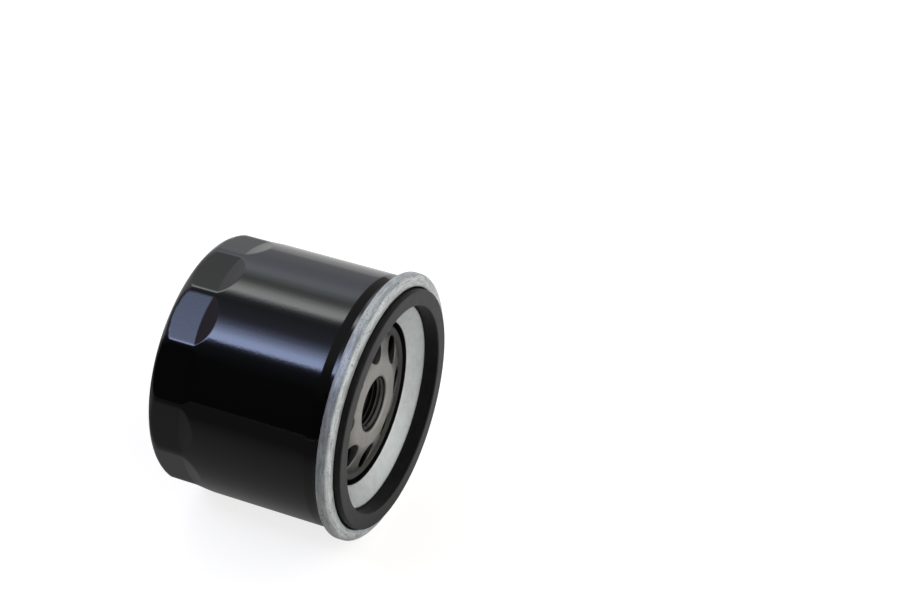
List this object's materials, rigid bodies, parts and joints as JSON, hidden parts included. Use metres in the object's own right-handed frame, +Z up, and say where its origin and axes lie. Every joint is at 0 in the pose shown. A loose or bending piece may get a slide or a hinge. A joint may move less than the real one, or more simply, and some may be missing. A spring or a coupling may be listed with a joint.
{
  "type": "spin-on oil filter",
  "caption": "Spin-on canister oil filter with wrench flats, a rolled seam, a sealing gasket and a threaded hub.",
  "frame": {"origin": "centre of the gasket's sealing face, on the filter's axis", "axes": "+X along the filter's axis, out of the gasket end towards the engine; +Z up with the filter lying on its side"},
  "size_m": [0.0612, 0.08, 0.0802],
  "materials": {
    "black_paint": "gloss",
    "galvanised_steel": "satin, lightly mottled",
    "plated_steel": "satin",
    "gasket_rubber": "semi-matte",
    "valve_rubber": "matte",
    "tinplate": "bright",
    "filter_paper": "matte, resin-treated paper",
    "plastisol": "satin, cured adhesive",
    "spring_steel": "bright"
  },
  "bodies": {
    "housing": {"can": "black_paint", "seaming_lid": "galvanised_steel", "base_plate": "plated_steel", "gasket": "gasket_rubber", "load_spring": "spring_steel"},
    "anti_drain_flap": {"anti_drain_valve": "valve_rubber"},
    "element": {"upper_end_cap": "tinplate", "lower_end_cap": "tinplate", "center_tube": "tinplate", "filter_media": "filter_paper", "media_seam_clip": "tinplate", "upper_adhesive": "plastisol", "lower_adhesive": "plastisol", "bypass_cage": "tinplate", "bypass_spring": "spring_steel"},
    "bypass_valve": {"bypass_poppet": "tinplate", "bypass_seal": "valve_rubber"}
  },
  "joints": [
    {"name": "element_float", "type": "slide", "parent": "housing", "child": "element", "axis": [1, 0, 0], "range_m": [-0.0012, 0], "stiffness_N_per_m": 8000, "springref_m": 0.004, "deforming": ["load_spring"]},
    {"name": "anti_drain_lift", "type": "slide", "parent": "housing", "child": "anti_drain_flap", "axis": [1, 0, 0], "range_m": [-0.0012, 0], "stiffness_N_per_m": 400, "springref_m": 0.001, "deforming": ["anti_drain_valve"]},
    {"name": "bypass_valve_lift", "type": "slide", "parent": "element", "child": "bypass_valve", "axis": [1, 0, 0], "range_m": [0, 0.0025], "stiffness_N_per_m": 2500, "springref_m": -0.003, "deforming": ["bypass_spring"]}
  ]
}
